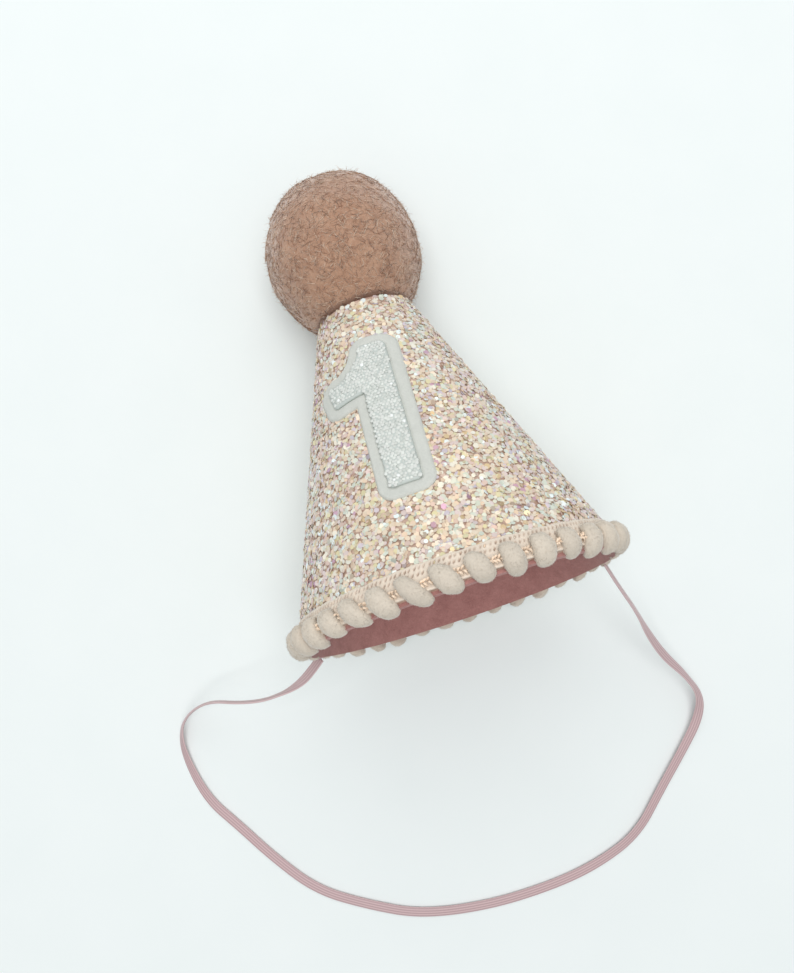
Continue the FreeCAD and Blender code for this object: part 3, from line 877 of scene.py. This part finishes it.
class PARTYHAT_OT_glitter(bpy.types.Operator):
    """Cover the canvas cone with overlapping glitter flecks."""
    bl_idname = "party_hat.glitter"
    bl_label = "Glitter"

    FLECKS = (
        ("#F1DDC8", 0.19), ("#EDD3BD", 0.13), ("#F4ECDE", 0.16), ("#E0E2D5", 0.15), ("#EAD5D2", 0.10),
        ("#E4C7BC", 0.08), ("#EADDB6", 0.09), ("#DFC39E", 0.03), ("#DBCDD8", 0.03), ("#D2A9BC", 0.01),
        ("#F8FFFF", 0.03))
    ROW_SHARE = 0.87        # rows as far apart as in a honeycomb, as a share of the spacing
    THICK = 0.1 * MM
    LEAN = 0.21             # usual slope of a fleck against the cone
    METALLISED_SHARE = 0.05

    def execute(self, context):
        rng = np.random.default_rng(SEED)
        finish_node("glitter_cover", glitter_ground())
        spacing = sizes().fleck_spacing
        up, around = [], []
        # from just under the braid's edge to the cone's mouth
        for row_up in np.arange(BRAID_WIDTH - 1 * MM, SLANT_LENGTH - 0.2 * MM, spacing * self.ROW_SHARE):
            radius = BRIM_RADIUS - row_up * SLANT_SIN
            count = int(math.tau * radius / spacing)
            around.append((np.arange(count) + rng.uniform()) * 360 / count)
            up.append(np.full(count, row_up))
        up, around = np.concatenate(up), np.concatenate(around)
        count = len(up)
        radius = BRIM_RADIUS - up * SLANT_SIN
        up = np.clip(up + rng.uniform(-0.5, 0.5, count) * spacing, 0, SLANT_LENGTH - 0.3 * MM)
        around = around + np.degrees(rng.uniform(-0.45, 0.45, count) * spacing / radius)
        beside = np.radians((around - LAP_AROUND + 180) % 360 - 180) * radius
        out = rng.uniform(0.04, 0.32, count) * MM + np.where(np.abs(beside) < LAP_WIDTH / 2, COVER_THICK, 0)
        bare = self.under_numeral(up, around)
        up, around, out = up[~bare], around[~bare], out[~bare]
        count = len(up)
        along, _, outward = cone_directions(around)
        lean = rng.normal(0, self.LEAN, (count, 2))
        size = sizes().fleck_half_size * rng.uniform(0.62, 1.12, count)
        points, faces = plates(on_cone(up, out, around), outward, along, size, self.THICK,
                               rng.uniform(0, math.tau, count), lean)
        tints = chosen_from(self.FLECKS, count, rng)
        tints[:, :3] *= rng.uniform(0.86, 1.03, (count, 1))
        tints[:, 3] = np.where(rng.random(count) < self.METALLISED_SHARE, 0.8, 0.05)
        tints = np.clip(tints, 0, 1)
        film = glitter_film("pastel_glitter_film", 0.33, 420.0)
        halves = np.array_split(np.argsort(around % 360), 2)
        for name, chosen in zip(("glitter_flecks_upper", "glitter_flecks_lower"), halves):
            rows = (chosen[:, None] * 12 + np.arange(12)).ravel()
            # every fleck is built alike, so the faces of the first ones serve for any of them
            part_faces = [corners[:len(chosen) * (len(corners) // count)] for corners in faces]
            new_piece(name, points[rows], part_faces, film,
                      tints=np.repeat(tints[chosen], 12, axis=0), smooth=False)
        return {"FINISHED"}

    def under_numeral(self, up, around):
        """Whether a place on the cone is under the numeral's felt."""
        place, across, upright, outward = numeral_plane()
        points = on_cone(up, 0.0, around) - place
        flat = np.stack([points @ across, points @ upright], -1) - NUMERAL_FOOT
        facing = cone_directions(around)[2] @ outward > 0
        distance = outline_distance(flat, numeral_core())[0]
        return facing & (distance < CORNER_RADIUS + BORDER - 0.5 * MM)


class PARTYHAT_OT_liner(bpy.types.Operator):
    """Finish the felt cone inside the cover."""
    bl_idname = "party_hat.liner"
    bl_label = "Liner"

    def execute(self, context):
        felt = wool_felt("pressed_felt_rose", colours().liner_dark, colours().liner, 0.8 * MM, 0.3)
        finish_node("felt_liner", felt)
        return {"FINISHED"}


# Ball

class PARTYHAT_OT_ball(bpy.types.Operator):
    """Add the needle-felted ball with its loose fibres, and finish the glue under it."""
    bl_idname = "party_hat.ball"
    bl_label = "Ball"

    LOOSE_SHARE = 0.4
    TIP_ABOVE_RIM = 0.2 * MM
    # width of the band of painted shade on the strands above the rim
    RIM_SHADE_WIDTH = 1.4 * MM
    # the wool's two colours are mixed with strands paler and darker than both
    PALE_STRAND = "#D9C1AC"
    DARK_STRAND = "#92705C"
    LOOSE_STRAND = "#D2B6A0"
    # painted shade: colour of the strands beside the rim, where the crease is shaded
    RIM_SHADE_STRAND = "#76543F"

    def surface(self, polar, turn):
        """Ellipsoid about the cone's axis, dented by smooth waves of two sizes, and no wider than the
        inside of the liner where it sits in the rim."""
        height = -np.cos(polar) * BALL_HALF_LENGTH
        radius = np.sin(polar) * BALL_RADIUS
        ring = np.cos(turn)[:, None] * SIDE + np.sin(turn)[:, None] * TOP
        shape = height[:, None] * AXIS + radius[:, None] * ring
        dent = 0.25 * MM * waves(shape, 16 * MM, SEED) + 0.05 * MM * waves(shape, 4 * MM, SEED + 1, 20)
        shape = shape + (dent - 0.1 * MM)[:, None] * unit(shape)
        height = shape @ AXIS + BALL_CENTRE
        radius = np.linalg.norm(shape - (shape @ AXIS)[:, None] * AXIS, axis=1)
        wall = (COVER_THICK + LINER_THICK) / SLANT_COS + 0.1 * MM
        room = BRIM_RADIUS - height * math.tan(SLANT_ANGLE) - wall
        seated = np.where(height < CONE_HEIGHT + 1.2 * MM, np.minimum(radius, room), radius)
        return BRIM_CENTRE + height[:, None] * AXIS + seated[:, None] * ring

    def execute(self, context):
        polar, turn, faces = globe(150, 240)
        points = self.surface(polar, turn)
        # the wool in a band just above the cone's rim is painted darker: painted shade of the crease
        felt = wool_felt("needle_felted_wool", colours().ball_dark, colours().ball, 0.6 * MM, 0.8,
                         BRIM_CENTRE @ AXIS + CONE_HEIGHT + 0.3 * MM)
        new_piece("wool_ball", points, faces, felt, ["felt_ball"])
        self.fibres()
        finish_node("ball_glue", hot_glue())
        return {"FINISHED"}

    def fibres(self):
        """Wool strands, each a bent line from a root on the ball, along it and up to a tip."""
        rng = np.random.default_rng(SEED + 3)
        count = sizes().ball_fibres
        # the angle, from the pole inside the cone, at which the cone's rim meets the ball
        lowest = math.acos((BALL_CENTRE - CONE_HEIGHT) / BALL_HALF_LENGTH)
        polar = np.arccos(rng.uniform(-1, math.cos(lowest), count))
        turn = rng.uniform(0, math.tau, count)
        root = self.surface(polar, turn)
        centre = BRIM_CENTRE + BALL_CENTRE * AXIS
        outward = unit(root - centre)
        heading = unit(np.cross(outward, unit(rng.normal(size=(count, 3)))))
        sideways = np.cross(outward, heading)
        # most strands are felted down flat, and the loose, thinner and shorter ones make a haze
        loose = rng.random(count) < self.LOOSE_SHARE
        length = (sizes().ball_fibre_length * rng.uniform(0.45, 1.0, count) * (1 - 0.4 * loose))[:, None]
        curl = rng.normal(0, 0.12, (count, 1)) * length
        lift = np.where(loose, rng.exponential(0.6, count).clip(0.1, 1.9), rng.uniform(0.0, 0.12, count))
        lift = lift[:, None] * MM
        middle = root + heading * length / 2 + sideways * curl + outward * (lift * 0.7 + 0.07 * MM)
        tip = root + heading * length + outward * lift
        # a tip follows the ball's curve, and stays above the rim
        drop = (np.linalg.norm(tip - centre, axis=1) - np.linalg.norm(root - centre, axis=1))[:, None] - lift
        tip = tip - outward * drop
        caught = np.clip(CONE_HEIGHT + self.TIP_ABOVE_RIM - (tip - BRIM_CENTRE) @ AXIS, 0, None)
        tip = tip + caught[:, None] * AXIS
        root = root - outward * 0.1 * MM
        lines = np.stack([root, middle, tip], 1)
        width = np.where(loose, rng.uniform(0.10, 0.17, count), rng.uniform(0.22, 0.38, count)) * MM
        points, faces = spikes(lines, width)
        mix = np.array([colours().ball[:], colours().ball_dark[:], linear(self.PALE_STRAND),
                        linear(self.DARK_STRAND)])
        tints = mix[rng.choice(4, count, p=[0.36, 0.27, 0.26, 0.11])]
        tints[loose] = linear(self.LOOSE_STRAND)
        # strands rooted beside the rim are painted dark brown: painted shade of the crease between ball and
        # rim
        beside_rim = (root - BRIM_CENTRE) @ AXIS < CONE_HEIGHT + self.RIM_SHADE_WIDTH
        tints[beside_rim] = linear(self.RIM_SHADE_STRAND)
        new_piece("wool_ball_fibres", points, faces, dyed_fibre("loose_wool", 0.35, 0.7 * MM),
                  tints=np.repeat(tints, len(points) // count, axis=0))


# Trim

class PARTYHAT_OT_braid(bpy.types.Operator):
    """Add the woven heading of the pom-pom trim, with its rows of slanting slits."""
    bl_idname = "party_hat.braid"
    bl_label = "Braid"

    ROW_MIDDLES = (5.2 * MM, 6.9 * MM)
    ROW_HALF_WIDTH = 0.6 * MM
    SLIT_HALF_LENGTH = 0.6 * MM
    SLIT_HALF_WIDTH = 0.23 * MM
    SLIT_UP = 0.8           # upward and sideways shares of the direction that a slit slants in
    SLIT_ASIDE = 0.6
    THREAD_PITCH = 0.6 * MM
    THREAD_SLANT = 3000     # how far the threads' phase turns, in radians for each metre up
    EDGE_WIDTH = 0.7 * MM
    STEPS_ALONG = 1500
    STEPS_ACROSS = 42
    STEPS_UNDER = 6

    def relief(self, along, up, width):
        """How far each place stands out, as a share of the braid's thickness, and how open its slit is.
        A sine of slanting threads and a bell-shaped ridge for each row, less a slanting oval bell for
        each slit, all rounded off in a quarter circle at both edges."""
        rng = np.random.default_rng(SEED + 4)
        stands = 0.62 + 0.06 * np.sin(along * math.tau / self.THREAD_PITCH + up * self.THREAD_SLANT)
        slit = np.zeros_like(along)
        pitch = sizes().stitch_pitch
        for row, middle in enumerate(self.ROW_MIDDLES):
            # every second row is half a stitch further on, and each slit is a little out of place
            number = ((along + row * pitch / 2) / pitch + 0.5).astype(int)
            stitches = number.max() + 1
            shift = rng.uniform(-0.16, 0.16, stitches)[number] * pitch
            open_share = rng.uniform(0.45, 1.0, stitches)[number]
            place = along + (row / 2 - number) * pitch + shift
            rise = up - middle
            lengthways = self.SLIT_UP * rise + self.SLIT_ASIDE * place
            sideways = self.SLIT_UP * place - self.SLIT_ASIDE * rise
            oval = (lengthways / self.SLIT_HALF_LENGTH) ** 2 + (sideways / self.SLIT_HALF_WIDTH) ** 2
            slit = np.maximum(slit, open_share * np.exp(-oval ** 1.5))
            stands += 0.25 * np.exp(-(rise / self.ROW_HALF_WIDTH) ** 2) * (1 - slit)
        edge = np.clip(np.minimum(up, width - up) / self.EDGE_WIDTH, 0, 1)
        rounded = np.sqrt(edge * (2 - edge))
        return stands * (0.3 + 0.7 * rounded) - 0.6 * slit, slit

    def execute(self, context):
        gap = math.degrees(BRAID_GAP / 2 / BRIM_RADIUS)
        around = np.linspace(LAP_AROUND + gap, LAP_AROUND + 360 - gap, self.STEPS_ALONG)
        length = (np.radians(around - around[0]) * BRIM_RADIUS)[:, None]
        # the edge towards the glitter wavers a little
        width = BRAID_WIDTH + 0.16 * MM * waves(length * (1.0, 0.0, 0.0), 6 * MM, SEED + 4)[:, None]
        along = np.repeat(length, self.STEPS_ACROSS, axis=1)
        up = width * np.linspace(0, 1, self.STEPS_ACROSS)
        stands, slit = self.relief(along, up, width)
        under = width * np.linspace(1, 0, self.STEPS_UNDER + 2)[1:-1]
        up_ring = np.concatenate([up, under], 1)
        out_ring = np.concatenate([BRAID_THICK * stands, np.zeros_like(under)], 1)
        points = on_cone(up_ring, out_ring, around[:, None])
        faces = swept_faces(*up_ring.shape)
        # the slits are painted dark brown in the tint: painted shade in their hollows
        slit_shade = np.concatenate([slit, np.zeros_like(under)], 1)[..., None]
        tints = (1 - slit_shade) * np.array(colours().braid[:]) + slit_shade * np.array(linear("#997863"))
        uv = np.stack(np.broadcast_arrays(length, up_ring), -1).reshape(-1, 2)
        new_piece("trim_band", points.reshape(-1, 3), faces, rayon_thread("woven_braid_thread", 0.4 * MM),
                  ["trim_braid"], tints=tints.reshape(-1, 4), uv=uv)
        return {"FINISHED"}


class PARTYHAT_OT_ties(bpy.types.Operator):
    """Add the loops of shiny thread that hold the pom-poms along the braid's lower edge."""
    bl_idname = "party_hat.ties"
    bl_label = "Tie threads"

    STRANDS = 8                 # in each gap
    THREAD_RADIUS = 0.34 * MM
    SIDES = 6

    def execute(self, context):
        rng = np.random.default_rng(SEED + 5)
        strands = self.STRANDS
        count = POMPOM_COUNT * strands
        # two rows of short slanting loops fill the gap between two pom-poms
        column = np.tile(np.arange(strands) // 2, POMPOM_COUNT)
        row = np.tile(np.arange(strands) % 2, POMPOM_COUNT)
        middle = FIRST_POMPOM + (np.repeat(np.arange(POMPOM_COUNT), strands) + 0.5) * POMPOM_PITCH
        share = np.linspace(-1, 1, 9)
        slant = np.where(row == 0, 0.7, -0.7) + rng.uniform(-0.35, 0.35, count)
        half = (0.75 + rng.uniform(-0.15, 0.2, count)) * MM
        beside = ((column - 1.5) * 1.0 + rng.uniform(-0.25, 0.25, count)) * MM
        height = (2.5 - 1.1 * row + rng.uniform(-0.2, 0.2, count)) * MM
        up = height[:, None] + (half * np.sin(slant))[:, None] * share
        out = BRAID_THICK + (0.1 + (0.7 + 0.3 * rng.random((count, 1))) * (1 - share ** 2)) * MM
        around = middle[:, None] + np.degrees((beside[:, None] + (half * np.cos(slant))[:, None] * share)
                                              / BRIM_RADIUS)
        line = on_cone(up, out, around)
        tangent = unit(np.gradient(line, axis=1))
        _, _, outward = cone_directions(around)
        first = unit(np.cross(tangent, outward))
        angle = np.arange(self.SIDES) * math.tau / self.SIDES
        ring = np.cos(angle)[:, None] * outward[:, :, None] + np.sin(angle)[:, None] * first[:, :, None]
        # a loop rises in a parabola, and thins towards its ends
        thick = (self.THREAD_RADIUS * (1 - 0.4 * share ** 4))[None, :, None, None]
        points = (line[:, :, None] + ring * thick).reshape(-1, 3)
        each = len(share) * self.SIDES
        start = np.arange(count)[:, None, None] * each
        step = np.arange(self.SIDES)
        faces = [(start + grid_faces(len(share), self.SIDES)).reshape(-1, 4),
                 start[:, 0] + step[::-1],
                 start[:, 0] + each - self.SIDES + step]
        uv = np.stack(np.broadcast_arrays(share[None, :, None] * half[:, None, None],
                                          angle * 0.3 * MM), -1).reshape(-1, 2)
        tints = np.repeat(tinted(colours().tie, count, 0.12, SEED + 6), each, axis=0)
        new_piece("tie_loops", points, faces, rayon_thread("rayon_tie_thread", 0.3 * MM),
                  ["trim_tie_threads"], tints=tints, uv=uv)
        return {"FINISHED"}


class PARTYHAT_OT_pompoms(bpy.types.Operator):
    """Add the clipped yarn pom-poms round the brim, each a little different."""
    bl_idname = "party_hat.pompoms"
    bl_label = "Pom-poms"

    HALF_WIDTH = 3.3 * MM
    HALF_DEPTH = 2.3 * MM
    LENGTH = 9.0 * MM
    TOP_UP = 5.4 * MM       # the upper end lies on the braid
    CURL = 85.0             # how far the lower end turns in under the brim, on top of the hat
    CURL_BELOW = 45.0       # and on its underside
    LEAN = 0.26             # sideways share of the length where the trim has been brushed aside most
    LEAN_AROUND = 75.0      # where that is
    DRAWN_FROM_TOP = 100.0  # where the elastic draws the trim in against the brim, on both sides

    def tuft(self, around, seed):
        """Drop shape, fuller at its lower end, with shallow lumps, and yarn ends standing out of it."""
        rng = np.random.default_rng(seed)
        polar, turn, faces = globe(18, 24)
        size = rng.uniform(0.94, 1.06, 3)
        aside = 0.1 + self.LEAN * math.exp(-((around - self.LEAN_AROUND) / 32) ** 2) + rng.normal(0, 0.07)
        points, _ = self.skin(polar, turn, size, aside, seed, around)
        skin_tints = tinted(colours().pompom, 1, 0.03, seed).repeat(len(points), axis=0)
        count = sizes().tuft_fibres
        polar = np.arccos(rng.uniform(-1, 1, count))
        root, away = self.skin(polar, rng.uniform(0, math.tau, count), size, aside, seed, around)
        away = unit(away + rng.normal(0, 0.7, (count, 3)))
        length = rng.uniform(0.2, 0.5, count)[:, None] * MM
        lines = np.stack([root - away * 0.15 * MM, root + away * length], 1)
        spike_points, spike_faces = spikes(lines, rng.uniform(0.13, 0.22, count) * MM)
        # yarn ends are painted a little lighter than the mass of the tuft: a painted highlight for the light
        # they catch
        spike_tints = np.repeat(1.06 * tinted(colours().pompom, count, 0.04, seed + 1), 4, axis=0)
        return joined([(points, faces, skin_tints), (spike_points, spike_faces, spike_tints)])

    def skin(self, polar, turn, size, aside, seed, around):
        """Points of the drop shape and the directions out of it. Its section is an ellipse carried down
        a line that leaves the braid's face and curls in under the brim, and its width and depth follow
        a power of the sine of the angle from its end, which makes the ends blunt."""
        share = np.linspace(0, 1, 60)
        on_top = 0.5 + 0.5 * math.sin(math.radians(around))
        curl = math.radians(self.CURL_BELOW + (self.CURL - self.CURL_BELOW) * on_top)
        tilt = curl * np.clip((share - 0.05) / 0.95, 0, 1)
        from_top = abs((around - 90 + 180) % 360 - 180)
        drawn = math.exp(-((from_top - self.DRAWN_FROM_TOP) / 22) ** 2)
        step = self.LENGTH * size[1] * (1 - 0.14 * drawn) / (len(share) - 1)
        down = np.concatenate([[0.0], np.cumsum(np.cos(tilt) * step)[:-1]])
        inward = np.concatenate([[0.0], np.cumsum(np.sin(tilt) * step)[:-1]])
        place = (1 + np.cos(polar)) / 2
        thick = np.sin(polar) ** 0.62 * (1 + 0.14 * np.cos(polar))
        tilt = np.interp(place, share, tilt)
        depth = self.HALF_DEPTH * size[2] * (1 - 0.32 * drawn)
        lift = BRAID_THICK + 0.9 * depth * thick
        side = -np.cos(turn) * thick * self.HALF_WIDTH * size[0]
        above = np.sin(turn) * thick * depth
        up = self.TOP_UP - np.interp(place, share, down) - above * np.sin(tilt)
        out = lift - np.interp(place, share, inward) + above * np.cos(tilt)
        local = np.stack([side + aside * (place - 0.5) * self.LENGTH, up, out], -1)
        face = np.sin(polar) * np.sin(turn)
        away = unit(np.stack([-np.sin(polar) * np.cos(turn),
                              -face * np.sin(tilt) - np.cos(polar) * np.cos(tilt),
                              face * np.cos(tilt) - np.cos(polar) * np.sin(tilt)], -1))
        local = local + away * (0.10 * MM * waves(local, 3.5 * MM, seed) - 0.1 * MM)[:, None]
        along, upward, out_direction = cone_directions(around)
        axes = np.stack([along, upward, out_direction])
        return on_cone(0.0, 0.0, around) + local @ axes, away @ axes

    def execute(self, context):
        yarn = dyed_fibre("clipped_acrylic_yarn", 0.5, 0.45 * MM)
        for index in range(POMPOM_COUNT):
            around = FIRST_POMPOM + index * POMPOM_PITCH
            points, faces, tints = self.tuft(around, SEED + 100 + 2 * index)
            new_piece("tuft_%02d" % (index + 1), points, faces, yarn,
                      ["pompom_%02d" % (index + 1)], tints=tints)
        return {"FINISHED"}


class PARTYHAT_PT_panel(bpy.types.Panel):
    """Lists the hat's sizes, colours and pieces."""
    bl_idname = "PARTYHAT_PT_panel"
    bl_label = "Party Hat"
    bl_space_type = "VIEW_3D"
    bl_region_type = "UI"
    bl_category = "Party Hat"

    def draw(self, context):
        layout = self.layout
        for group in (context.scene.party_hat_sizes, context.scene.party_hat_colours):
            box = layout.box()
            for name in group.__annotations__:
                box.prop(group, name)
        for operator in OPERATORS:
            layout.operator(operator.bl_idname)


OPERATORS = (PARTYHAT_OT_stage, PARTYHAT_OT_elastic, PARTYHAT_OT_glitter, PARTYHAT_OT_liner,
             PARTYHAT_OT_numeral, PARTYHAT_OT_ball, PARTYHAT_OT_braid, PARTYHAT_OT_ties,
             PARTYHAT_OT_pompoms)
CLASSES = (HatSizes, HatColours) + OPERATORS + (PARTYHAT_PT_panel,)


def register():
    for kind in CLASSES:
        bpy.utils.register_class(kind)
    bpy.types.Scene.party_hat_sizes = PointerProperty(type=HatSizes)
    bpy.types.Scene.party_hat_colours = PointerProperty(type=HatColours)


def unregister():
    del bpy.types.Scene.party_hat_colours
    del bpy.types.Scene.party_hat_sizes
    for kind in reversed(CLASSES):
        bpy.utils.unregister_class(kind)


def main():
    register()
    bpy.ops.party_hat.stage()
    bpy.ops.party_hat.elastic()
    bpy.ops.party_hat.glitter()
    bpy.ops.party_hat.liner()
    bpy.ops.party_hat.numeral()
    bpy.ops.party_hat.ball()
    bpy.ops.party_hat.braid()
    bpy.ops.party_hat.ties()
    bpy.ops.party_hat.pompoms()


if __name__ == "__main__":
    main()
